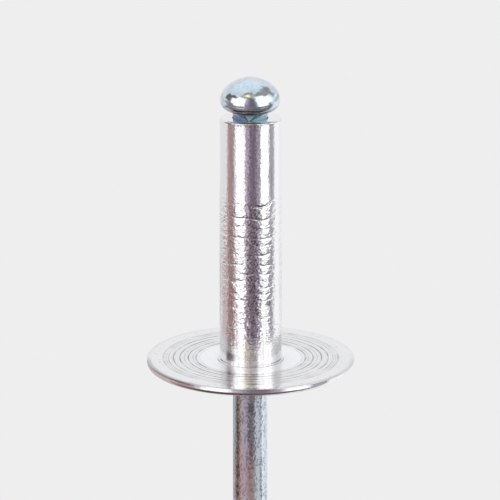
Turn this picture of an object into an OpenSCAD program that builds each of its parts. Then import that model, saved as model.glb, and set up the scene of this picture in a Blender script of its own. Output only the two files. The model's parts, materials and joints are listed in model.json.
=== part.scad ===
// Large-flange blind rivet, set tool end first: an aluminium body threaded on a headed steel mandrel.
// Millimetres, +Z up. The rivet lies on a level surface at Z = 0, on the rim of its flange and the
// tail of its mandrel, with its head towards -X. The origin is the middle of the bounding box, on
// that surface.
// Both pieces are turned about one axis. Along it, 0 is the seat of the flange and the head end is up.

/* [Sleeve] */
// Outside diameter of the sleeve
sleeve_d = 4.8; // [4.4:0.1:6]
// Length of the sleeve, from the seat of the flange to its open end
sleeve_l = 19.4; // [8:0.1:40]
// Rounding of the outer edge at the open end
sleeve_end_r = 0.3; // [0.05:0.05:0.4]
// Rounding of the bore's mouth at the open end
mouth_r = 0.15; // [0.05:0.05:0.2]

/* [Flange] */
// Outside diameter of the flange
flange_d = 16; // [9:0.5:20]
// Thickness of the flange in the middle, from the seat to the crown of its outer face
flange_h = 1.7; // [1.2:0.05:2.6]
// Thickness of the flange at its rim
rim_t = 0.56; // [0.4:0.02:0.9]
// Rounding of both edges of the rim
rim_r = 0.15; // [0.05:0.05:0.2]
// Fillet between the sleeve and the seat
seat_fillet_r = 0.2; // [0.05:0.05:0.5]

/* [Mandrel] */
// Diameter of the mandrel's shank
shank_d = 2.66; // [2:0.02:3]
// Length of shank that stands out of the flange, for the setting tool to grip
tail_l = 30; // [20:0.5:40]
// Rounding of the tail's end
tail_r = 0.3; // [0.05:0.05:0.6]
// Diameter of the mandrel's head
head_d = 4.64; // [4.2:0.02:5.6]
// Height of the head's crown, above its widest place
crown_h = 1.8; // [1.6:0.05:2.2]
// Depth of the head's underside, below its widest place
under_h = 1.14; // [1:0.02:1.4]
// Rounding of the head between its widest place and its crown
crown_belt_r = 1.4; // [0.8:0.05:1.5]
// Rounding of the head between its widest place and its underside
under_belt_r = 0.7; // [0.4:0.05:0.8]
// Length of neck that shows between the sleeve and the head
neck_l = 0.54; // [0.3:0.02:1.5]

/* [Break notch] */
// Thickness left between the two pinched flats, where the mandrel breaks
notch_t = 1.44; // [1.2:0.02:1.8]
// Angle of each flat to the axis
notch_angle = 49; // [40:1:60]
// How far the flats reach up into the head's underside
notch_rise = 0.18; // [0.05:0.01:0.25]

/* [Crimp] */
// Depth of the groove that the crimp presses into the shank
crimp_depth = 0.08; // [0.04:0.01:0.12]
// Radius of the groove's round section
crimp_r = 0.55; // [0.45:0.05:0.6]

/* [Fit] */
// Radial gap between the shank and the sleeve's bore
bore_gap = 0.06; // [0.03:0.01:0.2]
// Gap between the crimped lip and its groove
crimp_gap = 0.01; // [0.005:0.005:0.02]

/* [Hidden] */
$fn = 96;

// A cut reaches this far past what it cuts
past = 1;

sleeve_radius = sleeve_d / 2;
flange_radius = flange_d / 2;
shank_radius = shank_d / 2;
head_radius = head_d / 2;
bore_radius = shank_radius + bore_gap;

// Outer face of the flange: one arc that runs tangent into the rim's lower rounding
rim_centre_r = flange_radius - rim_r;
rim_centre_s = rim_r - rim_t;
dome_rise = flange_h - rim_t;
dome_r = (pow(rim_centre_r, 2) + pow(dome_rise + rim_r, 2) - pow(rim_r, 2)) / (2 * dome_rise);
dome_centre_s = dome_r - flange_h;

// Two-arc outlines of the head, above and below its widest place
function main_arc_r(half_w, height, belt_r) =
    (half_w * (half_w - 2 * belt_r) + height * height) / (2 * (height - belt_r));
crown_arc_r = main_arc_r(head_radius, crown_h, crown_belt_r);
under_arc_r = main_arc_r(head_radius, under_h, under_belt_r);

// The crimp stands just inside the outer face: the groove's lower edge is level with that face
crimp_centre_r = shank_radius + crimp_r - crimp_depth;
crimp_centre_s = sqrt(pow(crimp_r, 2) - pow(crimp_r - crimp_depth, 2)) - flange_h;

// Places along the axis
under_s = sleeve_l + neck_l;
under_drop = sqrt(pow(under_arc_r, 2) - pow(shank_radius, 2)) - (under_arc_r - under_h);
head_s = under_s + under_drop;
tail_s = -flange_h - tail_l;
notch_s = under_s + notch_rise;

// Lying at rest: the line that touches the rim's lower rounding and the tail's rounding is the floor
tail_centre_r = shank_radius - tail_r;
tail_centre_s = tail_s + tail_r;
touch_r = rim_centre_r - tail_centre_r;
touch_s = rim_centre_s - tail_centre_s;
rest_angle = atan2(touch_r, touch_s) + asin((rim_r - tail_r) / norm([touch_r, touch_s]));
axis_height = tail_centre_r * cos(rest_angle) + tail_r - tail_centre_s * sin(rest_angle);

// Reach of the tail and of the crown from the seat's centre, along X
tail_reach = -tail_centre_s * cos(rest_angle) + tail_centre_r * sin(rest_angle) + tail_r;
head_reach = (head_s + crown_h - crown_arc_r) * cos(rest_angle) + crown_arc_r;

// Everything that is turned stands on +Z and is then laid down here
module lie_down() {
    translate([(head_reach - tail_reach) / 2, 0, axis_height])
        rotate([0, rest_angle - 90, 0])
            children();
}

// Quarter of a rounded edge: fills the corner at the origin, towards +X and +Y
module inside_fillet(r) {
    difference() {
        square(r);
        translate([r, r]) circle(r);
    }
}

// Half outline of a head: an arc of belt_r at the widest place, tangent to a flatter one at the top
module half_outline(half_w, height, belt_r) {
    arc_r = main_arc_r(half_w, height, belt_r);
    belt_x = half_w - belt_r;
    drop = arc_r - height;
    // The line of both centres, carried out to twice the flatter arc's radius
    far = 2 * arc_r / norm([belt_x, drop]);
    intersection() {
        translate([belt_x, 0]) circle(belt_r);
        translate([belt_x, 0]) square(half_w);
    }
    intersection() {
        translate([0, -drop]) circle(arc_r);
        polygon([[0, -drop], [belt_x * far, drop * (far - 1)], [0, 2 * arc_r - drop]]);
        square([half_w, height]);
    }
}

// Half section of the flange, with the seat at 0
module flange_section() {
    translate([rim_centre_r, -rim_r]) circle(rim_r);
    translate([rim_centre_r, rim_centre_s]) circle(rim_r);
    translate([0, rim_centre_s]) square([flange_radius, rim_t - 2 * rim_r]);
    translate([0, rim_centre_s]) square([rim_centre_r, -rim_centre_s]);
    intersection() {
        translate([0, dome_centre_s]) circle(dome_r);
        translate([0, -flange_h]) square([flange_radius, flange_h]);
        polygon([
            [0, dome_centre_s],
            [0, -flange_h - past],
            [rim_centre_r * 2, dome_centre_s + (rim_centre_s - dome_centre_s) * 2],
        ]);
    }
}

// Half section of the sleeve, from the seat to the open end
module sleeve_section() {
    square([sleeve_radius, sleeve_l - sleeve_end_r]);
    square([sleeve_radius - sleeve_end_r, sleeve_l]);
    translate([sleeve_radius - sleeve_end_r, sleeve_l - sleeve_end_r]) circle(sleeve_end_r);
    translate([sleeve_radius, 0]) inside_fillet(seat_fillet_r);
}

// Half section of the bore: closed in by the crimped lip at the flange, rounded at its mouth
module bore_section() {
    difference() {
        translate([0, -flange_h - past]) square([bore_radius, flange_h + sleeve_l + past * 2]);
        translate([crimp_centre_r, crimp_centre_s]) circle(crimp_r - crimp_gap);
    }
    translate([bore_radius, sleeve_l]) mirror([0, 1]) inside_fillet(mouth_r);
}

module rivet_body() {
    color("gainsboro")
        lie_down()
            rotate_extrude()
                difference() {
                    union() {
                        flange_section();
                        sleeve_section();
                    }
                    bore_section();
                }
}

// Half section of the mandrel, from the rounded tail to the crown of the head
module mandrel_section() {
    difference() {
        translate([0, tail_centre_s]) square([shank_radius, head_s - tail_centre_s]);
        translate([crimp_centre_r, crimp_centre_s]) circle(crimp_r);
    }
    translate([0, tail_s]) square([tail_centre_r, tail_r]);
    translate([tail_centre_r, tail_centre_s]) intersection() {
        circle(tail_r);
        translate([0, -tail_r]) square(tail_r);
    }
    translate([0, head_s]) half_outline(head_radius, crown_h, crown_belt_r);
    translate([0, head_s]) mirror([0, 1]) half_outline(head_radius, under_h, under_belt_r);
}

// One pinched flat of the break notch: a wedge whose blade is the thinnest place
module notch_wedge() {
    reach = shank_radius - notch_t / 2 + past;
    rotate([90, 0, 0])
        linear_extrude(height = head_d, center = true)
            polygon([
                [notch_t / 2, notch_s],
                [notch_t / 2 + reach, notch_s - reach / tan(notch_angle)],
                [notch_t / 2 + reach, notch_s],
            ]);
}

module mandrel() {
    color("lightslategray")
        lie_down()
            difference() {
                rotate_extrude() mandrel_section();
                notch_wedge();
                rotate([0, 0, 180]) notch_wedge();
            }
}

rivet_body();
mandrel();
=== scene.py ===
import json
import math

import bmesh
import bpy
from bpy.props import FloatProperty, FloatVectorProperty, IntProperty, PointerProperty
from mathutils import Matrix, Vector, noise


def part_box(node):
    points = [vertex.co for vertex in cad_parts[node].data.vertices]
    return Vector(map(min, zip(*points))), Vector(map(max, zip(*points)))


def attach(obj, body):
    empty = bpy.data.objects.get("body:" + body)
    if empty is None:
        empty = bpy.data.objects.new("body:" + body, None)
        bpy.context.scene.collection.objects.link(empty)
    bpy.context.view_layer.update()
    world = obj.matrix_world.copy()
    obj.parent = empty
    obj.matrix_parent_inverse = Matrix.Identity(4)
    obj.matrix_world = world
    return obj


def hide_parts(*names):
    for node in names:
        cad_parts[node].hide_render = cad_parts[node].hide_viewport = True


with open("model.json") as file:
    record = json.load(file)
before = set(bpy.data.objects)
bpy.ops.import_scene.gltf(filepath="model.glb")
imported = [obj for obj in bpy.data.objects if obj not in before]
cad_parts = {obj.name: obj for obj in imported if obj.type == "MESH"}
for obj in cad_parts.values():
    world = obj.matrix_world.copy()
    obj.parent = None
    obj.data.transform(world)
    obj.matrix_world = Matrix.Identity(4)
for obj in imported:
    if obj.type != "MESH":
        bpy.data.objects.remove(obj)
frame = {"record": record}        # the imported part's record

bl_info = {
    "name": "Large-flange blind rivet",
    "version": (1, 0, 0),
    "blender": (4, 5, 0),
    "location": "3D View > Sidebar > Rivet",
    "description": "Finished meshes, metals and a plain studio for an unset blind rivet",
    "category": "Add Mesh",
}

MM = 0.001
TURN = 2 * math.pi
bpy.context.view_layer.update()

# The rivet's own frame: the seat's centre, with Z along the axis towards the head, Y level across
# the rivet and X upwards from it
MOUNTS = {mount["name"]: mount for mount in frame["record"]["mounts"]}
HEADWARD = Vector(MOUNTS["seat"]["axis"]).normalized()
ACROSS = Vector((0, 1, 0))
UPWARD = ACROSS.cross(HEADWARD)
SLEEVE_MIDDLE = Vector(MOUNTS["sleeve"]["pos_m"])
SLEEVE_HALF = (SLEEVE_MIDDLE - Vector(MOUNTS["seat"]["pos_m"])).dot(HEADWARD)
SEAT_CENTRE = SLEEVE_MIDDLE - HEADWARD * SLEEVE_HALF
LAID_DOWN = Matrix((UPWARD, ACROSS, HEADWARD)).transposed().to_4x4()
LAID_DOWN.translation = SEAT_CENTRE
SLEEVE_R = MOUNTS["sleeve"]["dims"]["r_mm"] * MM
SHANK_R = MOUNTS["mandrel_tail"]["dims"]["r_mm"] * MM
FLANGE_R = (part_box("rivet_body")[1][1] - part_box("rivet_body")[0][1]) / 2
BORE_GAP = 0.05 * MM

# Two lengths closer than this, in metres, are the same
SAME = 1e-7


# ---------------------------------------------------------------- sizes and colours

def length(name, description, default):
    """A size in metres."""
    return FloatProperty(name=name, description=description, default=default, min=0.0,
                         unit="LENGTH", subtype="DISTANCE", precision=5)


def colour(name, description, default):
    """A linear colour."""
    return FloatVectorProperty(name=name, description=description, default=default, size=3,
                               min=0.0, soft_max=1.0, subtype="COLOR")


class BodySizes(bpy.types.PropertyGroup):
    """Sizes of the aluminium body."""
    sleeve_r: length("Sleeve radius", "Outside radius of the sleeve", SLEEVE_R)
    sleeve_l: length("Sleeve length", "From the seat to the open end", 2 * SLEEVE_HALF)
    end_r: length("End rounding", "Rounding of the sleeve's outer edge", 0.16 * MM)
    end_lean: FloatProperty(name="End lean", description="Slope of the cut end, down to the back",
                            default=0.075, min=0.0, max=0.2)
    end_raise: length("End raise", "How far the cut end stands above the plain length", 0.07 * MM)
    mouth_r: length("Mouth rounding", "Rounding of the bore's mouth", 0.08 * MM)
    bore_r: length("Bore radius", "Radius of the bore", SHANK_R + BORE_GAP)
    bore_aside: length("Bore aside", "How far the bore's mouth lies to one side", 0.035 * MM)
    flange_r: length("Flange radius", "Outside radius of the flange", FLANGE_R)
    flange_h: length("Flange thickness", "In the middle, seat to outer face", 1.7 * MM)
    rim_t: length("Rim thickness", "Thickness of the flange at its rim", 0.60 * MM)
    rim_upper_r: length("Rim's upper rounding", "Next to the seat", 0.06 * MM)
    rim_lower_r: length("Rim's lower rounding", "Next to the outer face", 0.34 * MM)
    flange_rise: length("Flange rise", "How far the crimped flange sits up the sleeve", 0.065 * MM)
    foot_w: length("Foot groove", "Width of the groove round the sleeve's foot", 0.14 * MM)
    crimp_r: length("Crimp radius", "Radius of the lip that holds the mandrel", 0.49 * MM)
    crimp_depth: length("Crimp depth", "How far the lip reaches into the shank", 0.07 * MM)
    crease_top: length("Crease top", "Height on the sleeve where its creases end", 13.25 * MM)
    crease_depth: length("Crease depth", "Depth of the plainest crease", 0.027 * MM)
    crease_sag: length("Crease sag", "How far the creases sag on one side", 0.13 * MM)
    ring_depth: length("Turning mark depth", "Depth of the rings on the seat", 0.022 * MM)
    rim_wear: length("Rim wear", "How far the seat drops towards its worn rim", 0.09 * MM)
    segments: IntProperty(name="Segments", description="Steps of the spin", default=240,
                          min=48, max=384)


class MandrelSizes(bpy.types.PropertyGroup):
    """Sizes of the steel mandrel."""
    shank_r: length("Shank radius", "Radius of the shank", SHANK_R)
    tail_s: length("Tail", "Distance of the tail's end below the seat", 31.7 * MM)
    tail_r: length("Tail rounding", "Rounding of the tail's end", 0.3 * MM)
    head_r: length("Head radius", "Radius of the head at its widest", 2.32 * MM)
    crown_h: length("Crown height", "Crown above the widest place", 1.8 * MM)
    under_h: length("Underside depth", "Underside below the widest place", 1.14 * MM)
    crown_belt_r: length("Upper belt", "Rounding from the widest place to the crown", 1.4 * MM)
    under_belt_r: length("Lower belt", "Rounding from the widest place down", 0.7 * MM)
    neck_s: length("Neck", "Height of the neck's end above the seat",
                   2 * SLEEVE_HALF + 0.54 * MM)
    notch_t: length("Notch thickness", "Left between the notch's two flats", 1.44 * MM)
    notch_rise: length("Notch rise", "How far the flats reach into the head", 0.18 * MM)
    notch_angle: FloatProperty(name="Notch angle", description="Each flat to the axis",
                               default=math.radians(49), unit="ROTATION", subtype="ANGLE")
    dent_depth: length("Dents", "Depth of the dents in the head", 0.035 * MM)
    aside: length("Aside", "How far the mandrel lies to one side in its bore", 0.045 * MM)
    segments: IntProperty(name="Segments", description="Steps of the spin", default=176,
                          min=48, max=384)


class MetalColours(bpy.types.PropertyGroup):
    """Colours of the two metals."""
    aluminium: colour("Aluminium", "Bright drawn aluminium", (0.88, 0.875, 0.885))
    # Dull aluminium colours the real marks, and also painted shade: in the foot groove, in specks
    # over the creases and at the sleeve's foot
    aluminium_marks_and_shade: colour("Dull aluminium", "Turning marks and dull places", (0.30, 0.30, 0.31))
    aluminium_matt: colour("Matt aluminium", "Smooth seat round the sleeve", (0.96, 0.96, 0.975))
    zinc: colour("Zinc", "Bright zinc plating", (0.71, 0.78, 0.85))
    zinc_shade: colour("Zinc shade", "Deeper places on the head", (0.58, 0.67, 0.75))
    wire_shade: colour("Wire shade", "Deeper places on the shank", (0.42, 0.44, 0.50))
    # The two warm wire colours are a painted warm reflection on one side of the shank
    warm_reflection_wire: colour("Warm wire", "Left of the shank below the flange", (0.78, 0.69, 0.71))
    warm_reflection_shade: colour("Warm wire shade", "Deeper places towards the tail", (0.52, 0.40, 0.42))
    # The pale notch flat is painted light, and the dark notch edge is painted shade
    lit_notch_flat: colour("Notch flat", "Pinched flats of the neck", (0.64, 0.90, 1.0))
    shaded_notch_edge: colour("Notch edge", "Where the flats run out", (0.05, 0.13, 0.24))
    # Painted shade on the head's underside
    under_head_shade: colour("Under the head", "Dull plating under the head", (0.30, 0.27, 0.29))
    neck_navy: colour("Neck, one side", "Deep blue plating in the neck", (0.26, 0.37, 0.60))
    neck_teal: colour("Neck, other side", "Blue-green plating in the neck", (0.42, 0.72, 0.82))


class StudioSettings(bpy.types.PropertyGroup):
    """Floor, softboxes and camera."""
    backdrop: colour("Backdrop", "Brightness of floor and backdrop", (0.855, 0.855, 0.855))
    room: colour("Room", "What the metal reflects between the cards", (0.87, 0.87, 0.88))
    red_card: colour("Red card", "Red-brown card on the left", (0.43, 0.31, 0.31))
    grey_card: colour("Grey card", "Grey card on the right", (0.41, 0.41, 0.46))
    table: colour("Table", "Table beside the flange, on the left", (0.57, 0.49, 0.49))
    table_brown: colour("Brown table", "Table below the tail, on the left", (0.20, 0.12, 0.10))
    dark_cloth: colour("Dark cloth", "Dark cloth round the camera", (0.225, 0.172, 0.225))
    softbox: FloatProperty(name="Softboxes", description="Brightness of both softboxes",
                           default=1.6, min=0.0)
    camera_rise: FloatProperty(name="Camera rise", description="Above the plane of the seat",
                               default=math.radians(17.65), unit="ROTATION", subtype="ANGLE")
    camera_reach: length("Camera distance", "From the camera to the seat", 1.5)
    view_width: length("View width", "Width of the view at the seat", 38.55 * MM)
    view_climb: length("View climb", "Middle of the view above the seat", 8.35 * MM)
    view_aside: length("View aside", "Middle of the view left of the axis", 0.058 * MM)


# ---------------------------------------------------------------- outlines and meshes

def arc(centre, radius, start, end, steps):
    """Points of an arc in the half section, from one angle in degrees to another."""
    points = []
    for step in range(steps + 1):
        angle = math.radians(start + (end - start) * step / steps)
        points.append((centre[0] + radius * math.cos(angle), centre[1] + radius * math.sin(angle)))
    return points


def run(start, end, pitch):
    """Points of a straight stretch about a pitch apart, without its two ends."""
    steps = max(1, round(math.dist(start, end) / pitch))
    return [(start[0] + (end[0] - start[0]) * step / steps,
             start[1] + (end[1] - start[1]) * step / steps) for step in range(1, steps)]


def spun(outline, closed, segments):
    """A bmesh of a half section (radius, height) turned about Z."""
    bm = bmesh.new()
    verts = [bm.verts.new((radius, 0.0, height)) for radius, height in outline]
    edges = [bm.edges.new(pair) for pair in zip(verts, verts[1:])]
    if closed:
        edges.append(bm.edges.new((verts[-1], verts[0])))
    bmesh.ops.spin(bm, geom=verts + edges, cent=(0, 0, 0), axis=(0, 0, 1), dvec=(0, 0, 0),
                   angle=TURN, steps=segments, use_merge=True, use_duplicate=False)
    bmesh.ops.remove_doubles(bm, verts=bm.verts, dist=SAME)
    bmesh.ops.recalc_face_normals(bm, faces=bm.faces)
    return bm


def placed(bm, name, matrix, material):
    """An object in the scene from a bmesh, which a matrix puts in its place."""
    bmesh.ops.transform(bm, matrix=matrix, verts=bm.verts)
    mesh = bpy.data.meshes.new(name)
    bm.to_mesh(mesh)
    bm.free()
    mesh.materials.append(material)
    mesh.shade_smooth()
    thing = bpy.data.objects.new(name, mesh)
    bpy.context.scene.collection.objects.link(thing)
    return thing


def finished(bm, name, node, material):
    """Lays a mesh down in its place and makes it the piece that stands for a node."""
    piece = placed(bm, name, LAID_DOWN, material)
    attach(piece, "root")
    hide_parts(node)


def smooth(value, low, high):
    """0 below low and 1 above high, with an eased ramp between."""
    share = min(max((value - low) / (high - low), 0.0), 1.0)
    return share * share * (3 - 2 * share)


def round_noise(angle, height, round_scale, height_scale, seed):
    """Noise on a turned surface that closes on itself, about -1 to 1."""
    place = Vector((math.cos(angle) * round_scale, math.sin(angle) * round_scale,
                    height * height_scale + 17.3 * seed))
    return noise.noise(place, noise_basis="PERLIN_ORIGINAL")


# ---------------------------------------------------------------- aluminium body

# Steps of the body's outline: short where the surface has relief, long where it is plain
RIM_STEP = 0.04 * MM
OUTER_SEAT_STEP = 0.11 * MM
TURNED_SEAT_STEP = 0.042 * MM
INNER_SEAT_STEP = 0.15 * MM
CREASED_STEP = 0.062 * MM
PLAIN_STEP = 0.3 * MM
BORE_STEP = 2.5 * MM

# The groove round the sleeve's foot: its centre's height, and how far below level its arc starts
GROOVE_S = 0.02 * MM
GROOVE_START = 16
# A ring of points this far below the end's rounding keeps the wall's shading straight
SUPPORT = 0.02 * MM
# The lip opens into the bore over this many of its half heights, and ends in a small chamfer
LIP_FLARE = 1.2
LIP_CHAMFER = (0.01 * MM, 0.06 * MM)

# Rings that the turning tool left on the seat: radius in millimetres, and share of depth
RINGS = ((3.95, 0.25), (4.22, 0.9), (4.46, 0.4), (4.82, 1.0), (5.12, 0.35), (5.46, 1.0),
         (5.96, 0.9), (6.36, 0.5), (6.56, 0.4), (6.75, 0.6))
# Width of a ring, and the plain stretch beside the outermost and innermost ring, in millimetres
RING_W = 0.045
RING_MARGIN = 0.15
# The worn rim starts and is complete at these radii
WORN_R = (7.40 * MM, 8.1 * MM)

# Patterns of unevenness: how fine they are round the axis and along it, and their seed
FAINT_RINGS = (1.3, 3.1, 6)
DIMPLES = (1.5, 1.1, 5)
WANDER = (1.8, 0.5, 1)
FAINT_CREASES = (1.4, 2.3, 2)
CRACKS = (3.2, 2.6, 4)
KNOBS = (6.5, 3.1, 5)

# Creases that the rolls pressed round the sleeve: height in millimetres, and share of depth
CREASES = ((13.10, 1.5), (12.03, 1.1), (11.24, 0.9), (10.45, 1.1), (9.90, 0.7), (9.13, 0.9),
           (8.30, 1.0), (7.55, 0.9), (6.97, 0.8), (6.46, 0.8), (5.95, 0.5), (5.42, 0.7),
           (4.87, 0.9), (4.42, 0.7), (3.95, 0.6), (3.52, 0.6), (3.10, 0.5), (2.70, 0.4))
# Width of a crease and of its soft banks, where the banks end, and how far a crease wanders, in
# millimetres
CREASE_W = 0.075
BANK_W = 0.27
BANK_END = 0.8
CREASE_WANDER = 0.22
# Depth of the banks, of the cracks between creases and of the faintest crease, for a depth of 1
BANK_SHARE = 0.25
CRACK_SHARE = 0.22
FAINTEST = 0.3
# How near 0 the pattern of the cracks has to be for a crack
CRACK_W = 0.09
# Where the creases sag, and how wide the sag is, in radians round the axis
SAG_AT = 0.45
SAG_W = 0.20
# The creases fade in over this stretch of the wall, and out over this one at their top
CREASES_START = (1.2 * MM, 3.2 * MM)
CREASES_END = (-0.1 * MM, 0.05 * MM)
# The outline's short steps go on this far above the top crease
CREASE_RUNOUT = 0.15 * MM
# Points of the body below this are the foot's and the flange's, not the wall's
WALL_START = 0.1 * MM
# Depths of the wall's wide dimples and of the small knobs between its creases
DIMPLE_DEPTH = 0.0035 * MM
KNOB_DEPTH = 0.012 * MM
# The last stretch of the wall, where the cut end's slope takes over from the level creases
END_STRETCH = (0.7 * MM, 0.2 * MM)
# The flange's rise fades out this far up the sleeve
RISE_FADE = 2 * MM

# Where the wall has its nick, in millimetres in the rivet's own frame
NICK_AT = (1.98, 1.35, 5.1)


def body_outline(size):
    """Closed half section of the body, from the lip out along the outer face and back."""
    upper = (size.flange_r - size.rim_upper_r, -size.rim_upper_r)
    lower = (size.flange_r - size.rim_lower_r, size.rim_lower_r - size.rim_t)
    rise = size.flange_h - size.rim_t
    dome_r = (lower[0] ** 2 + (rise + size.rim_lower_r) ** 2 - size.rim_lower_r ** 2) / (2 * rise)
    dome_s = dome_r - size.flange_h
    lip_r = size.bore_r - BORE_GAP - size.crimp_depth
    rim_angle = math.degrees(math.atan2(lower[1] - dome_s, lower[0]))
    lip_angle = math.degrees(math.atan2(-dome_s, lip_r))
    outline = arc((0, dome_s), dome_r, lip_angle, rim_angle, 24)
    outline += arc(lower, size.rim_lower_r, rim_angle, 0, 10)[1:]
    outline += run(outline[-1], (size.flange_r, upper[1]), RIM_STEP)
    outline += arc(upper, size.rim_upper_r, 0, 90, 4)
    foot = size.sleeve_r + size.foot_w
    turned = ((RINGS[-1][0] + RING_MARGIN) * MM, (RINGS[0][0] - RING_MARGIN) * MM)
    outline += run((upper[0], 0), (turned[0], 0), OUTER_SEAT_STEP) + [(turned[0], 0)]
    outline += run((turned[0], 0), (turned[1], 0), TURNED_SEAT_STEP) + [(turned[1], 0)]
    outline += run((turned[1], 0), (foot, 0), INNER_SEAT_STEP) + [(foot, 0)]
    groove = (size.sleeve_r + size.foot_w / 2, GROOVE_S)
    wall_start = (size.sleeve_r, GROOVE_S)
    outline += arc(groove, size.foot_w / 2, -GROOVE_START, GROOVE_START - 180, 5)[1:-1]
    outline += [wall_start]
    crease_end = (size.sleeve_r, size.crease_top + CREASE_RUNOUT)
    outline += run(wall_start, crease_end, CREASED_STEP) + [crease_end]
    shoulder = (size.sleeve_r - size.end_r, size.sleeve_l - size.end_r)
    wall_end = (size.sleeve_r, shoulder[1] - SUPPORT)
    outline += run(crease_end, wall_end, PLAIN_STEP) + [wall_end]
    outline += arc(shoulder, size.end_r, 0, 90, 6)
    mouth = (size.bore_r + size.mouth_r, size.sleeve_l - size.mouth_r)
    outline += arc(mouth, size.mouth_r, 90, 180, 6)
    lip_height = math.sqrt(size.crimp_r ** 2 - (size.crimp_r - size.crimp_depth) ** 2)
    lip_s = lip_height - size.flange_h
    outline += run((size.bore_r, mouth[1]), (size.bore_r, lip_s + lip_height), BORE_STEP)
    outline += [(size.bore_r, lip_s + lip_height * LIP_FLARE)]
    outline += [(lip_r + LIP_CHAMFER[0], lip_s + LIP_CHAMFER[1])]
    return outline


def crease_relief(size, angle, height):
    """How far the sleeve's wall stands in or out of its plain radius, at a place on it."""
    creased = smooth(height, *CREASES_START) * (1 - smooth(height - size.crease_top, *CREASES_END))
    dimples = round_noise(angle, height / MM, *DIMPLES) * DIMPLE_DEPTH
    if creased == 0:
        return dimples
    sag = size.crease_sag * math.exp(-((angle - SAG_AT) / SAG_W) ** 2)
    level = (height + sag) / MM + CREASE_WANDER * round_noise(angle, height / MM, *WANDER)
    pressed = 0.0
    for crease, share in CREASES:
        away = abs(level - crease)
        if away < BANK_END:
            # Creases come and go round the wall, and are deeper on the right
            kept = smooth(round_noise(angle, crease, *FAINT_CREASES) + 0.3 * math.sin(angle),
                          -0.3, 0.3)
            depth = share * (FAINTEST + (1 - FAINTEST) * kept)
            pressed += depth * (math.exp(-(away / CREASE_W) ** 2)
                                + BANK_SHARE * math.exp(-(away / BANK_W) ** 2))
    cracks = max(0.0, 1 - abs(round_noise(angle, height / MM, *CRACKS)) / CRACK_W)
    knobs = round_noise(angle, height / MM, *KNOBS) * KNOB_DEPTH
    return dimples + creased * (knobs - size.crease_depth * (pressed + CRACK_SHARE * cracks))


def seat_relief(size, radius, angle):
    """How far the seat stands below its plain plane, at a place on it."""
    rings = 0.0
    for ring, share in RINGS:
        away = (radius / MM - ring) / RING_W
        if abs(away) < 3:
            faint = 0.55 + 0.9 * round_noise(angle, ring, *FAINT_RINGS)
            rings += share * max(faint, 0.1) * math.exp(-away * away)
    # The rim is worn on its upper side, most of all on the left
    worn = smooth(radius, *WORN_R) * smooth(math.cos(angle), -0.1, 0.3) * (
        0.35 + smooth(-math.sin(angle), 0.2, 0.8))
    return size.ring_depth * rings + size.rim_wear * worn


class RIVET_OT_body(bpy.types.Operator):
    """Make the aluminium body: sleeve and flange, turned in one piece"""
    bl_idname = "rivet.body"
    bl_label = "Rivet body"

    def execute(self, context):
        size = context.scene.rivet_body_sizes
        bm = spun(body_outline(size), True, size.segments)
        for vert in bm.verts:
            radius = math.hypot(vert.co.x, vert.co.y)
            angle = math.atan2(vert.co.y, vert.co.x)
            if abs(radius - size.sleeve_r) < SAME and vert.co.z > WALL_START:
                wall = radius + crease_relief(size, angle, vert.co.z)
                vert.co.x *= wall / radius
                vert.co.y *= wall / radius
            elif abs(vert.co.z) < SAME and radius > size.sleeve_r + size.foot_w:
                vert.co.z -= seat_relief(size, radius, angle)
            cut = smooth(vert.co.z, size.sleeve_l - END_STRETCH[0], size.sleeve_l - END_STRETCH[1])
            vert.co.z += cut * (size.end_lean * vert.co.x + size.end_raise)
            vert.co.z += size.flange_rise * (1 - smooth(vert.co.z, 0, RISE_FADE))
            in_bore = 1 - smooth(radius, size.bore_r, size.bore_r + size.mouth_r)
            vert.co.y -= size.bore_aside * in_bore
        finished(bm, "rivet_body_finish", "rivet_body",
                 aluminium_finish(context.scene.rivet_colours))
        return {"FINISHED"}


# ---------------------------------------------------------------- steel mandrel

# Dents in the head: turn about the axis, rise above its widest place, width, and share of depth
HEAD_DENTS = (
    (0.45, 0.55, 0.35, 1.0),
    (-0.5, 0.75, 0.40, 0.8),
    (0.05, 0.35, 0.30, -0.5),
    (1.3, 0.9, 0.5, 0.7),
    (2.6, 0.7, 0.5, 0.8),
    (-2.2, 0.8, 0.5, 0.8),
)

# Steps of the mandrel's outline, and how far below the neck's end the short ones start
TAIL_END_STEP = 0.2 * MM
SHANK_STEP = 0.28 * MM
NECK_STEP = 0.04 * MM
NECK_STRETCH = 1.4 * MM
# Height of the two flats, from the break notch's sharp end down
NOTCH_STRETCH = 1.2 * MM
# Points of the mandrel nearer than this to the head's centre aren't on the head's surface
HEAD_CORE = 1 * MM


def main_arc_r(half_width, height, belt_r):
    """Radius of the flatter arc that runs tangent into a belt of belt_r and crosses the axis."""
    return (half_width * (half_width - 2 * belt_r) + height ** 2) / (2 * (height - belt_r))


def half_head(half_width, height, belt_r, steps):
    """Points from the widest place of the head to the axis, both arcs, for a height upwards."""
    main_r = main_arc_r(half_width, height, belt_r)
    join = math.degrees(math.atan2(main_r - height, half_width - belt_r))
    belt = arc((half_width - belt_r, 0), belt_r, 0, join, steps)
    return belt + arc((0, height - main_r), main_r, join, 90, steps)[1:]


def head_height(size):
    """Height of the head's widest place, which the neck's end and the underside's arc fix."""
    under_r = main_arc_r(size.head_r, size.under_h, size.under_belt_r)
    drop = math.sqrt(under_r ** 2 - size.shank_r ** 2) - (under_r - size.under_h)
    return size.neck_s + drop


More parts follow.
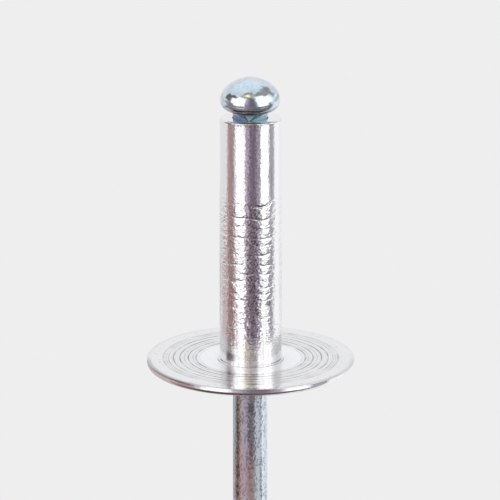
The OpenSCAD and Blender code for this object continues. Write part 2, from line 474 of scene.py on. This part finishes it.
def mandrel_outline(size):
    """Half section of the mandrel from the tail's end to the top of the crown."""
    neck_s = size.neck_s
    head_s = head_height(size)
    tail = (size.shank_r - size.tail_r, -size.tail_s + size.tail_r)
    tail_end = (0, -size.tail_s)
    neck_start = (size.shank_r, neck_s - NECK_STRETCH)
    neck_end = (size.shank_r, neck_s)
    outline = [tail_end] + run(tail_end, (tail[0], -size.tail_s), TAIL_END_STEP)
    outline += arc(tail, size.tail_r, 270, 360, 8)
    outline += run((size.shank_r, tail[1]), neck_start, SHANK_STEP)
    outline += run(neck_start, neck_end, NECK_STEP)
    under = half_head(size.head_r, size.under_h, size.under_belt_r, 28)
    under = [(radius, head_s - height) for radius, height in reversed(under)]
    outline += [neck_end] + [point for point in under if point[0] > size.shank_r + 10 * SAME]
    crown = half_head(size.head_r, size.crown_h, size.crown_belt_r, 34)
    outline += [(radius, head_s + height) for radius, height in crown[1:]]
    return outline


def notched(size, place):
    """Where a point of the mandrel goes when the two flats of the break notch are pinched in."""
    top = size.neck_s + size.notch_rise
    if place.z > top or place.z < top - NOTCH_STRETCH:
        return place
    flat = size.notch_t / 2 + (top - place.z) * math.tan(size.notch_angle)
    return Vector((max(-flat, min(flat, place.x)), place.y, place.z))


def dented(size, place):
    """Where a point of the head goes under the dents that forging and tumbling left."""
    centre = Vector((0, 0, head_height(size)))
    out = place - centre
    if out.z < -size.under_h or out.length < HEAD_CORE:
        return place
    ray = out.normalized()
    sink = 0.0
    for turn, rise, width, depth in HEAD_DENTS:
        towards = Vector((math.cos(rise) * math.cos(turn), math.cos(rise) * math.sin(turn),
                          math.sin(rise)))
        sink += depth * math.exp(-(ray.angle(towards) / width) ** 2)
    return place - ray * (sink * size.dent_depth)


class RIVET_OT_mandrel(bpy.types.Operator):
    """Make the steel mandrel: headed, notched and plated"""
    bl_idname = "rivet.mandrel"
    bl_label = "Mandrel"

    def execute(self, context):
        size = context.scene.rivet_mandrel_sizes
        bm = spun(mandrel_outline(size), False, size.segments)
        for vert in bm.verts:
            vert.co = notched(size, vert.co)
            vert.co = dented(size, vert.co)
            vert.co.y -= size.aside
        finished(bm, "mandrel_finish", "mandrel",
                 zinc_finish(context.scene.rivet_colours))
        return {"FINISHED"}


# ---------------------------------------------------------------- metals

# Heights of the metals' finest relief
ALUMINIUM_RELIEF = 0.031 * MM
ZINC_RELIEF = 0.026 * MM

# Turned lines on the flange, in radians of their wave for each millimetre
LINES_PITCH = 37.0
# Half the width of a ring's dull stretch, in millimetres
RING_SPREAD = 1.92 * RING_W
# Height in millimetres where the shank's plating ends and the head's begins, inside the neck
SHANK_END = 19.0
# The painted pale V of light on the neck: how far left of the axis its point is, and the slopes of
# its two sides
V_ASIDE = 0.15
V_SLOPES = (-1.06, 0.60)


class Wiring:
    """A material's nodes, with short calls to add and join them. Places are in millimetres."""

    def __init__(self, name):
        self.material = bpy.data.materials.new(name)
        self.material.use_nodes = True
        self.nodes = self.material.node_tree.nodes
        self.links = self.material.node_tree.links
        self.shader = self.nodes["Principled BSDF"]

    def add(self, kind, settings=None, **inputs):
        """A node of a kind, with its settings and with inputs as values or other nodes' sockets."""
        node = self.nodes.new(kind)
        for key, value in (settings or {}).items():
            setattr(node, key, value)
        for key, value in inputs.items():
            self.put(key, value, node)
        return node

    def put(self, key, value, node=None):
        """Gives an input of a node, or of the shader, a value or another node's socket."""
        words = key.strip("_").replace("_", " ")
        socket = (node or self.shader).inputs[int(words) if words.isdigit() else words]
        if isinstance(value, bpy.types.NodeSocket):
            self.links.new(value, socket)
        else:
            socket.default_value = (*value, 1) if socket.type == "RGBA" else value

    def maths(self, operation, first, second=0.0, third=0.0):
        """The result of one sum."""
        return self.add("ShaderNodeMath", {"operation": operation}, _0=first, _1=second,
                        _2=third).outputs[0]

    def scaled(self, value, by, plus):
        """A number times another, plus a third."""
        return self.maths("MULTIPLY_ADD", value, by, plus)

    def ramp(self, factor, *stops):
        """A colour or grey that eases through stops of (position, colour)."""
        node = self.add("ShaderNodeValToRGB", _0=factor)
        points = node.color_ramp.elements
        while len(points) < len(stops):
            points.new(0.5)
        for point, (position, shade) in zip(points, stops):
            point.position = position
            point.color = (*shade, 1) if hasattr(shade, "__len__") else (shade, shade, shade, 1)
        return node.outputs[0]

    def mixed(self, factor, first, second):
        """A colour between two."""
        return self.add("ShaderNodeMix", {"data_type": "RGBA"}, _0=factor, _6=first,
                        _7=second).outputs[2]

    def profile(self, value, start, end, *stops):
        """A ramp over a stretch of millimetres from start to end. Its stops are places in it."""
        reach = end - start
        share = self.scaled(value, 1 / reach, -start / reach)
        return self.ramp(share, *(((place - start) / reach, shade) for place, shade in stops))

    def blend(self, factor, first, second):
        """A number between two."""
        return self.add("ShaderNodeMix", _0=factor, _2=first, _3=second).outputs[0]

    def product(self, first, *others):
        """Several numbers multiplied together."""
        for other in others:
            first = self.maths("MULTIPLY", first, other)
        return first

    def greatest(self, first, *others):
        """The greatest of several numbers."""
        for other in others:
            first = self.maths("MAXIMUM", first, other)
        return first

    def noisy(self, place, scale, detail=1.0, roughness=0.5):
        """Noise at a place, finer for a greater scale."""
        return self.add("ShaderNodeTexNoise", Vector=place, Scale=scale, Detail=detail,
                        Roughness=roughness).outputs[0]

    def own_place(self):
        """Places in millimetres in the rivet's own frame: Z along the axis, 0 at the seat."""
        back = LAID_DOWN.inverted()
        return self.add("ShaderNodeMapping", Vector=self.add("ShaderNodeTexCoord").outputs["Object"],
                        Scale=(1 / MM, 1 / MM, 1 / MM), Rotation=back.to_euler("XYZ"),
                        Location=back.translation / MM).outputs[0]

    def stretched(self, place, scale):
        """A place scaled along each axis."""
        return self.add("ShaderNodeMapping", Vector=place, Scale=scale).outputs[0]

    def bump(self, height, distance):
        """A bump of a height field."""
        return self.add("ShaderNodeBump", Height=height, Distance=distance).outputs[0]


def seat_marks_and_shade(w, place, x, y, height, radius):
    """Where the flange is dull: turned rings and lines, spots, worn rim, and painted shade in the
    groove at the foot.
    """
    stops = []
    for ring, share in RINGS:
        stops += [(ring - RING_SPREAD, 0.0), (ring, share), (ring + RING_SPREAD, 0.0)]
    uneven = w.scaled(w.noisy(place, 0.7), 4.0, -1.0)
    rings = w.product(w.profile(radius, 3.6, 7.6, *stops), uneven)
    lines = w.product(w.maths("SINE", w.product(radius, LINES_PITCH)),
                      w.profile(radius, 0, 10, (3.9, 0.0), (4.2, 0.16), (6.6, 0.16), (7.0, 0.0)))
    spots = w.product(w.ramp(w.noisy(place, 3.2), (0.64, 0.0), (0.72, 0.32)),
                      w.profile(radius, 0, 10, (3.9, 0.0), (4.2, 1.0)))
    worn = w.product(w.profile(radius, 0, 10, (7.62, 0.0), (7.85, 1.0)),
                     w.profile(y, 0, -8, (-3.2, 0.3), (-4.8, 0.85), (-7.2, 0.85), (-7.76, 0.6)),
                     w.profile(x, -5, 5, (-0.3, 0.15), (0.8, 1.0)),
                     w.maths("GREATER_THAN", height, -0.06))
    # Painted shade in the groove round the sleeve's foot, on its upper side only
    groove = w.product(w.profile(x, -5, 5, (0.0, 0.0), (0.6, 1.0)),
                       w.profile(radius, 0, 10, (2.44, 0.0), (2.50, 0.95), (2.56, 0.95),
                                 (2.62, 0.0)))
    return w.greatest(w.maths("ADD", rings, lines), spots, worn, groove)


def wall_marks_and_shade(w, place, x, y, height, grain, lines):
    """Where the sleeve's wall is dull: specks of painted cavity shade, drawing lines, painted shade
    at its foot, and a nick.
    """
    facing = w.profile(w.maths("ABSOLUTE", x), 0, 2.5, (1.5, 0.0), (1.95, 1.0))
    # Painted cavity shade: dark specks over the creased wall
    shade_specks = w.product(w.ramp(w.noisy(place, 7.0, 0.5), (0.36, 1.0), (0.50, 0.0)),
                       w.profile(height, 0, 20, (1.7, 0.0), (2.8, 1.0), (12.8, 1.0),
                                 (13.4, 0.50), (18.6, 0.50)),
                       w.profile(y, -2.5, 2.5, (-1.5, 0.6), (-1.15, 0.16), (-0.5, 0.16),
                                 (-0.25, 1.0), (0.65, 1.0), (0.9, 0.2)))
    drawn = w.ramp(lines, (0.36, 0.34), (0.58, 0.0))
    # Painted shade: a dark patch low on the wall at the sleeve's foot, on its upper side
    foot_shade = w.product(w.profile(height, 0, 20, (0.28, 0.0), (0.44, 1.0), (0.9, 0.9), (1.24, 0.0)),
                      w.profile(y, -2.5, 2.5, (-1.95, 0.0), (-1.8, 1.0), (-1.4, 1.0),
                                (-0.95, 0.0)),
                      w.maths("GREATER_THAN", x, 0.0))
    away = w.add("ShaderNodeVectorMath", {"operation": "DISTANCE"}, _0=place, _1=NICK_AT)
    away = w.scaled(grain, 0.3, away.outputs[1])
    nick = w.ramp(away, (0.33, 1.0), (0.43, 0.0))
    return w.greatest(w.product(facing, w.greatest(shade_specks, drawn)), foot_shade, nick)


def aluminium_finish(colours):
    """Bright drawn aluminium: fine drawing lines, pressed speckle, and turned rings on the seat."""
    w = Wiring("rivet_aluminium_finish")
    place = w.own_place()
    x, y, height = w.add("ShaderNodeSeparateXYZ", Vector=place).outputs
    radius = w.maths("SQRT", w.maths("ADD", w.product(x, x), w.product(y, y)))
    on_flange = w.maths("GREATER_THAN", radius, SLEEVE_R / MM + 0.1)
    grain = w.noisy(place, 9.0)
    lines = w.noisy(w.stretched(place, (7.0, 7.0, 0.5)), 1.0)
    # Colour: smooth and matt on the seat round the sleeve, dull wherever there are marks, and darker
    # where shade is painted
    inner_seat = w.profile(radius, 0, 10, (3.9, 1.0), (4.3, 0.0))
    metal = w.mixed(on_flange, colours.aluminium,
                    w.mixed(inner_seat, colours.aluminium, colours.aluminium_matt))
    marks = w.blend(on_flange, wall_marks_and_shade(w, place, x, y, height, grain, lines),
                    seat_marks_and_shade(w, place, x, y, height, radius))
    w.put("Base Color", w.mixed(marks, metal, colours.aluminium_marks_and_shade))
    w.put("Metallic", 1.0)
    # Roughness: even on the wall, and on the flange less and less towards its rim
    seat_rough = w.profile(radius, 0, 10, (2.5, 0.40), (3.4, 0.36), (4.0, 0.25), (4.3, 0.19),
                           (6.8, 0.16), (7.5, 0.12))
    wall_rough = w.scaled(grain, 0.08, 0.06)
    w.put("Roughness", w.blend(on_flange, wall_rough, seat_rough))
    # Relief: speckle, stronger where the wall is creased, and soft waves on the flange
    pressed = w.profile(height, 0, 20, (0.6, 0.25), (2.8, 0.85), (13.1, 0.80), (13.5, 0.42),
                        (19.0, 0.40))
    speckle = w.noisy(w.stretched(place, (0.9, 0.9, 1.3)), 5.2, 0.6)
    wall = w.scaled(lines, 0.04, w.product(speckle, pressed))
    waves = w.product(w.noisy(place, 2.2), 0.30)
    w.put("Normal", w.bump(w.blend(on_flange, wall, waves), ALUMINIUM_RELIEF))
    return w.material


def neck_colour(w, colours, y, height):
    """The neck's blue plating, with painted light in a pale V where its two flats are and painted
    shade along its edge.
    """
    side = w.profile(y, -1.25, 1.25, (-0.625, colours.neck_navy), (0.25, colours.neck_teal))
    beside = w.maths("ADD", y, V_ASIDE)
    side_s = w.greatest(*(w.product(beside, slope) for slope in V_SLOPES))
    above = w.maths("SUBTRACT", height, side_s)
    # Painted light on the pale flats, and painted shade along their edge
    flat = w.profile(above, 19, 20, (19.50, 0.0), (19.56, 1.0))
    edge = w.profile(above, 19, 20, (19.41, 0.0), (19.47, 0.85), (19.52, 0.85), (19.58, 0.0))
    return w.mixed(edge, w.mixed(flat, side, colours.lit_notch_flat), colours.shaded_notch_edge)


def wire_colour(w, colours, y, height, mottle, bloom):
    """The shank's streaked zinc, with a painted warm reflection on one side for a stretch below the
    flange.
    """
    wire = w.ramp(mottle, (0.40, colours.wire_shade), (0.51, colours.zinc))
    warm_reflection_wire = w.ramp(mottle, (0.40, colours.warm_reflection_shade), (0.51, colours.warm_reflection_wire))
    below = w.scaled(height, -0.1, w.product(bloom, 0.4))
    # Painted warm reflection: one side of the shank, below the flange, is tinted warm
    warm_reflection = w.product(w.ramp(below, (0.80, 0.0), (1.0, 1.0)),
                       w.profile(y, 1.25, -1.25, (0.625, 0.0), (0.1, 0.75)),
                       w.profile(height, 0, -20, (-12.4, 1.0), (-16, 0.0)))
    return w.mixed(warm_reflection, wire, warm_reflection_wire)


def zinc_finish(colours):
    """Bright zinc over drawn steel wire: bluish, deeper blue in the neck, speckled and streaked."""
    w = Wiring("zinc_steel_finish")
    place = w.own_place()
    y, height = w.add("ShaderNodeSeparateXYZ", Vector=place).outputs[1:]
    bloom = w.noisy(place, 0.9, 3.0, 0.6)
    streaks = w.noisy(w.stretched(place, (4.5, 4.5, 0.9)), 1.0, 1.5)
    grain = w.noisy(place, 5.5, 0.6)
    on_shank = w.maths("LESS_THAN", height, SHANK_END)
    mottle = w.scaled(streaks, 0.3, w.scaled(bloom, 0.25, w.product(grain, 0.45)))
    # Colour: the shank's wire, the head with painted shade on its underside, and the neck between
    # them
    clouded = w.scaled(bloom, 0.6, w.product(grain, 0.4))
    head = w.ramp(clouded, (0.43, colours.zinc_shade), (0.56, colours.zinc))
    # Painted shade: the head's underside is darker
    under = w.profile(height, 19.9, 20.9, (19.95, 0.0), (20.0, 0.85), (20.4, 0.85), (20.7, 0.0))
    head = w.mixed(under, head, colours.under_head_shade)
    neck = w.profile(height, 18.8, 20.8, (19.2, 0.0), (19.32, 1.0), (19.8, 1.0), (19.96, 0.0))
    plating = w.mixed(on_shank, head, wire_colour(w, colours, y, height, mottle, bloom))
    w.put("Base Color", w.mixed(neck, plating, neck_colour(w, colours, y, height)))
    w.put("Metallic", w.scaled(neck, -0.85, 1.0))
    w.put("Roughness", w.scaled(neck, 0.28, w.scaled(grain, 0.14, 0.06)))
    # Relief: soft waves on the head, streaks and grain on the wire
    waves = w.scaled(w.noisy(place, 1.3), 0.9, w.product(grain, 0.16))
    drawn = w.scaled(streaks, 0.30, w.product(grain, 1.1))
    w.put("Normal", w.bump(w.blend(on_shank, waves, drawn), ZINC_RELIEF))
    return w.material


# ---------------------------------------------------------------- studio

FLOOR_R = 2.0
SURROUND_R = 1.5
# The table's near corner from the flange's lowest point, its size, how far its top is below the
# floor, and where along it the wood turns brown
TABLE_OFFSET = Vector((1.5, -71, 0)) * MM
TABLE_L = 60 * MM
TABLE_W = 70 * MM
TABLE_DROP = 0.2 * MM
TABLE_BROWNS = (14 * MM, 24 * MM)

# What stands round the rivet and shows in its metal, nearer things last: turns about the axis from
# straight up, rises above the plane of the seat, both in degrees, the width of its soft edge, and
# its brightness or the name of its setting
SURROUND = (
    ((90, 135), (-45, 42), 16, (1.03, 1.035, 1.05)),
    ((130, 165), (-45, -4), 16, (0.93, 0.935, 0.95)),
    ((-190, -160), (-10, 50), 20, (0.895, 0.90, 0.92)),
    ((150, 190), (-10, 50), 20, (0.895, 0.90, 0.92)),
    ((-162, -104), (-45, -4), 10, (0.82, 0.82, 0.835)),
    ((-181, -104), (42, 91), 12, (0.90, 0.98, 1.03)),
    ((104, 181), (42, 91), 12, (0.90, 0.98, 1.03)),
    ((-62, 60), (46, 79), 6, (0.55, 0.50, 0.38)),
    ((-62, 72), (76, 84), 4, (0.30, 0.28, 0.24)),
    ((-64, -22), (68, 78), 6, (0.30, 0.28, 0.24)),
    ((-46, -2), (60, 72), 8, (1.48, 1.34, 1.00)),
    ((-22, 14), (48, 57), 4, (0.33, 0.27, 0.19)),
    ((58, 100), (54, 68), 6, (0.30, 0.31, 0.28)),
    ((95, 122), (50, 61), 6, (0.30, 0.31, 0.28)),
    ((75, 116), (40, 62), 6, (0.42, 0.41, 0.38)),
    ((108, 141), (33, 55), 6, (0.36, 0.37, 0.34)),
    ((106, 130), (18, 36), 6, (0.40, 0.43, 0.46)),
    ((-96, -62), (-60, 30), 12, "red_card"),
    ((-66, -40), (-40, 8), 5, (0.70, 0.64, 0.70)),
    ((-34, -3), (-40, 49), 8, (0.52, 0.45, 0.52)),
    ((19, 41), (-40, 49), 6, (0.42, 0.40, 0.46)),
    ((-7, 23), (-80, 49), 13, "dark_cloth"),
    ((-78, -22), (0, 48), 6, "softbox"),
    ((-57, -23), (-27, 8), 10, "softbox"),
    ((31, 92), (2, 44), 6, "softbox"),
    ((34, 78), (20, 58), 5, "softbox"),
    ((37.5, 78), (-27, 8), 8, "softbox"),
    ((70, 96), (-60, -4), 10, "grey_card"),
    ((-104, 82), (-44, -27), 6, (0.24, 0.185, 0.20)),
    ((-104, 82), (-91, -44), 8, (0.07, 0.05, 0.05)),
)

# Cards that stand close to one part of the rivet and show in that part only. Each is a strip of a
# tube round the axis: its radius and its two heights above the seat in millimetres, its two turns,
# its first brightness, and those that follow round it: where each begins, in degrees, the width of
# its soft edge, and its brightness or the name of its setting
NEAR_CARDS = {
    "tail_card": (6, (-13.2, -2.6), (-180, 125), (0.50, 0.49, 0.49), (
        (-108, 14, (0.33, 0.29, 0.28)),
        (-94, 4, (0.15, 0.10, 0.09)),
        (-74, 5, (0.37, 0.27, 0.25)),
        (-60, 8, (0.54, 0.43, 0.44)),
        (-36, 8, (0.50, 0.42, 0.47)),
        (-24, 8, (0.42, 0.35, 0.40)),
        (-11, 6, (0.21, 0.17, 0.18)),
        (18, 5, (0.27, 0.24, 0.27)),
        (30, 5, (0.66, 0.66, 0.66)),
        (64, 5, (0.40, 0.40, 0.43)),
        (76, 5, (1.05, 1.055, 1.07)),
        (96, 12, (0.86, 0.86, 0.87)),
    )),
    "tail_top_card": (5.9, (-3.95, -2.5), (-100, 70), (0.28, 0.14, 0.12), (
        (30, 20, (0.25, 0.17, 0.16)),
    )),
    "tail_far_card": (6, (-34, -13.2), (-180, 125), (0.62, 0.62, 0.64), (
        (-112, 14, (0.46, 0.46, 0.48)),
        (-94, 4, (0.24, 0.235, 0.24)),
        (-74, 6, (0.50, 0.49, 0.51)),
        (-40, 12, (0.72, 0.72, 0.74)),
        (-11, 8, (0.30, 0.29, 0.31)),
        (30, 8, (0.66, 0.66, 0.67)),
        (76, 6, (1.05, 1.055, 1.07)),
    )),
    "tail_end_card": (5.95, (-13.2, -9.7), (-16, 32), (0.36, 0.28, 0.27), (
        (16, 6, (0.40, 0.36, 0.36)),
    )),
    "under_head_card": (20, (15.4, 19.9), (-97, 84), (0.40, 0.39, 0.41), (
        (-90, 8, (0.28, 0.26, 0.27)),
        (-60, 20, (0.33, 0.24, 0.27)),
        (-15, 20, (0.21, 0.155, 0.17)),
        (25, 20, (0.16, 0.165, 0.165)),
    )),
    "under_head_strip": (5, (18.7, 19.85), (-90, 66), (0.26, 0.23, 0.24), (
        (-50, 20, (0.32, 0.22, 0.25)),
        (-12, 20, (0.20, 0.15, 0.17)),
        (20, 20, (0.16, 0.17, 0.16)),
    )),
    "head_belt_card": (4, (20.86, 21.36), (-64, 80), (0.28, 0.27, 0.29), (
        (-48, 5, "softbox"),
        (-17, 5, (0.36, 0.30, 0.36)),
        (-5, 6, (0.20, 0.155, 0.20)),
        (16, 6, (0.40, 0.41, 0.44)),
        (22, 5, "softbox"),
        (54, 5, (0.36, 0.38, 0.39)),
        (64, 6, (0.85, 0.88, 0.92)),
    )),
    "head_low_belt_card": (4.1, (20.3, 20.86), (-66, 62), (0.30, 0.27, 0.28), (
        (-40, 12, (0.42, 0.32, 0.35)),
        (-14, 8, (0.27, 0.205, 0.235)),
        (8, 8, (0.19, 0.19, 0.19)),
        (40, 10, (0.25, 0.26, 0.26)),
    )),
    "beside_head_card": (25, (24.5, 39.5), (-112, -84), (0.19, 0.16, 0.17), ()),
    "over_head_card": (25, (37, 46), (-90, -64), (0.17, 0.145, 0.155), ()),
    "middle_card": (60.5, (-9.2, -5), (-180, -108), (0.77, 0.765, 0.765), ()),
    "lower_card": (60, (-16.3, -9.2), (-180, 180), (0.62, 0.60, 0.59), (
        (-128, 10, (0.54, 0.49, 0.48)),
        (-119, 6, (0.36, 0.19, 0.175)),
        (-67, 4, (0.50, 0.37, 0.38)),
        (-61, 6, (0.72, 0.62, 0.65)),
        (-49, 8, (0.96, 0.90, 0.92)),
        (-40, 6, (1.45, 1.43, 1.43)),
        (-23, 10, (0.54, 0.47, 0.52)),
        (-8, 12, (0.22, 0.165, 0.215)),
        (22, 9, (0.42, 0.40, 0.46)),
        (34, 8, (0.90, 0.93, 0.97)),
        (57, 8, (0.68, 0.70, 0.75)),
        (64, 8, (0.37, 0.37, 0.42)),
        (88, 7, (1.02, 1.025, 1.045)),
        (128, 16, (0.82, 0.82, 0.83)),
    )),
    "foot_card": (60, (15.8, 18.4), (-150, 150), (0.62, 0.62, 0.64), (
        (-110, 6, (0.19, 0.13, 0.12)),
        (-64, 6, "softbox"),
        (-29, 6, (1.15, 0.86, 0.42)),
        (2, 8, (0.60, 0.48, 0.19)),
        (22, 8, "softbox"),
        (78, 8, (0.40, 0.41, 0.41)),
    )),
    "seat_card": (60, (18.4, 26), (-150, 150), (0.80, 0.80, 0.82), (
        (-104, 6, (0.48, 0.47, 0.47)),
        (-66, 6, "softbox"),
        (-27, 6, (0.95, 1.00, 0.90)),
        (0, 8, (0.75, 0.80, 0.74)),
        (18, 8, "softbox"),
        (82, 6, (0.72, 0.73, 0.75)),
    )),
}


def within(value, reach, edge):
    """1 inside a stretch and 0 outside it, with soft ends."""
    return (smooth(value, reach[0] - edge / 2, reach[0] + edge / 2)
            * (1 - smooth(value, reach[1] - edge / 2, reach[1] + edge / 2)))


def shade_of(look, card):
    """A card's brightness: its own, or that of the setting which it names."""
    if card == "softbox":
        return Vector((1, 1, 1)) * look.softbox
    return Vector(getattr(look, card) if isinstance(card, str) else card)


def glowing(name, shade=None):
    """A plain emission material, of one colour or of the mesh's own glow."""
    w = Wiring(name)
    w.nodes.remove(w.shader)
    glow = shade or w.add("ShaderNodeAttribute", {"attribute_name": "glow"}).outputs["Color"]
    light = w.add("ShaderNodeEmission", Color=glow)
    w.put("Surface", light.outputs[0], w.nodes["Material Output"])
    return w.material


def staged(bm, name, matrix, material, seen_by_camera):
    """Makes a mesh part of the studio: either the camera sees it, or the metal does."""
    thing = placed(bm, name, matrix, material)
    thing.visible_camera = seen_by_camera
    thing.visible_glossy = not seen_by_camera
    thing.visible_shadow = False
    thing.visible_diffuse = False


def painted(bm, name, matrix, shade_at):
    """Makes a mesh a card for the metal to reflect. Each point glows as shade_at says."""
    layer = bm.verts.layers.float_color.new("glow")
    for vert in bm.verts:
        vert[layer] = (*shade_at(vert.co), 1)
    staged(bm, name, matrix, glowing(name + "_glow"), False)


class RIVET_OT_studio(bpy.types.Operator):
    """Make the pale floor and backdrop, the cards and softboxes round it, and the camera"""
    bl_idname = "rivet.studio"
    bl_label = "Studio"

    def execute(self, context):
        scene = context.scene
        look = scene.rivet_studio
        scene.view_settings.view_transform = "Standard"
        world = bpy.data.worlds.new("backdrop")
        world.use_nodes = True
        world.node_tree.nodes["Background"].inputs["Color"].default_value = (*look.backdrop, 1)
        scene.world = world
        bm = bmesh.new()
        bmesh.ops.create_circle(bm, cap_ends=True, segments=96, radius=FLOOR_R)
        staged(bm, "floor", Matrix(), glowing("pale_floor", look.backdrop), True)
        self.surround(look)
        self.table(look)
        for name, card in NEAR_CARDS.items():
            self.near_card(look, name, *card)
        self.camera(scene, look)
        return {"FINISHED"}

    def surround(self, look):
        """A wide sphere that glows as the room, its softboxes and its cards would."""
        cards = [(*reach, shade_of(look, card)) for *reach, card in SURROUND]

        def shade_at(place):
            turn = math.degrees(math.atan2(place.y, place.x))
            rise = math.degrees(math.asin(place.normalized().z))
            shade = Vector(look.room)
            for turns, rises, edge, brightness in cards:
                share = within(turn, turns, edge) * within(rise, rises, edge)
                shade = shade.lerp(brightness, share)
            return shade

        bm = bmesh.new()
        bmesh.ops.create_uvsphere(bm, u_segments=240, v_segments=120, radius=SURROUND_R)
        painted(bm, "surround", LAID_DOWN, shade_at)

    def table(self, look):
        """The table left of the flange and the tail, which shows low on the rim."""
        corner = SEAT_CENTRE - UPWARD * FLANGE_R + TABLE_OFFSET

        def shade_at(place):
            return Vector(look.table).lerp(Vector(look.table_brown), smooth(
                place.x - corner.x, *TABLE_BROWNS))

        bm = bmesh.new()
        bmesh.ops.create_grid(bm, x_segments=60, y_segments=1, size=0.5)
        for vert in bm.verts:
            vert.co = Vector((corner.x + TABLE_L * (vert.co.x + 0.5),
                              corner.y + TABLE_W * (vert.co.y + 0.5), -TABLE_DROP))
        painted(bm, "table", Matrix(), shade_at)

    def near_card(self, look, name, reach, heights, turns, first, others):
        """A strip of a tube round the axis that glows in a few soft-edged shades."""
        shades = [(start, edge, shade_of(look, card)) for start, edge, card in others]

        def shade_at(place):
            turn = math.degrees(math.atan2(place.y, place.x))
            shade = shade_of(look, first)
            for start, edge, brightness in shades:
                shade = shade.lerp(brightness, smooth(turn, start - edge / 2, start + edge / 2))
            return shade

        bm = bmesh.new()
        bmesh.ops.create_grid(bm, x_segments=120, y_segments=2, size=0.5)
        for vert in bm.verts:
            turn = math.radians(turns[0] + (turns[1] - turns[0]) * (vert.co.x + 0.5))
            height = heights[0] + (heights[1] - heights[0]) * (vert.co.y + 0.5)
            vert.co = Vector((reach * math.cos(turn), reach * math.sin(turn), height)) * MM
        painted(bm, name, LAID_DOWN, shade_at)

    def camera(self, scene, look):
        """A long lens, square to the rivet's side and a little towards its head."""
        rise = look.camera_rise
        away = UPWARD * math.cos(rise) + HEADWARD * math.sin(rise)
        upright = HEADWARD * math.cos(rise) - UPWARD * math.sin(rise)
        right = upright.cross(away)
        lens = bpy.data.cameras.new("camera")
        lens.sensor_width = 36.0
        lens.lens = lens.sensor_width * look.camera_reach / look.view_width
        lens.clip_start = 0.01
        lens.clip_end = 20.0
        camera = bpy.data.objects.new("camera", lens)
        turned = Matrix((right, upright, away)).transposed().to_4x4()
        turned.translation = (SEAT_CENTRE + away * look.camera_reach
                              + upright * look.view_climb - right * look.view_aside)
        camera.matrix_world = turned
        scene.collection.objects.link(camera)
        scene.camera = camera


# ---------------------------------------------------------------- panel and run

STEPS = (RIVET_OT_body, RIVET_OT_mandrel, RIVET_OT_studio)


class RIVET_PT_sidebar(bpy.types.Panel):
    """Lists the rivet's steps and settings in the 3D view's sidebar"""
    bl_idname = "RIVET_PT_sidebar"
    bl_label = "Blind rivet"
    bl_space_type = "VIEW_3D"
    bl_region_type = "UI"
    bl_category = "Rivet"

    def draw(self, context):
        for step in STEPS:
            self.layout.operator(step.bl_idname)
        for group in (context.scene.rivet_body_sizes, context.scene.rivet_mandrel_sizes,
                      context.scene.rivet_colours, context.scene.rivet_studio):
            box = self.layout.box()
            for key in group.bl_rna.properties.keys()[1:]:
                box.prop(group, key)


GROUPS = {
    "rivet_body_sizes": BodySizes,
    "rivet_mandrel_sizes": MandrelSizes,
    "rivet_colours": MetalColours,
    "rivet_studio": StudioSettings,
}
CLASSES = (*GROUPS.values(), *STEPS, RIVET_PT_sidebar)


def register():
    for kind in CLASSES:
        bpy.utils.register_class(kind)
    for name, kind in GROUPS.items():
        setattr(bpy.types.Scene, name, PointerProperty(type=kind))


def unregister():
    for name in GROUPS:
        delattr(bpy.types.Scene, name)
    for kind in reversed(CLASSES):
        bpy.utils.unregister_class(kind)


def main():
    register()
    bpy.ops.rivet.body()
    bpy.ops.rivet.mandrel()
    bpy.ops.rivet.studio()


if __name__ == "__main__":
    main()
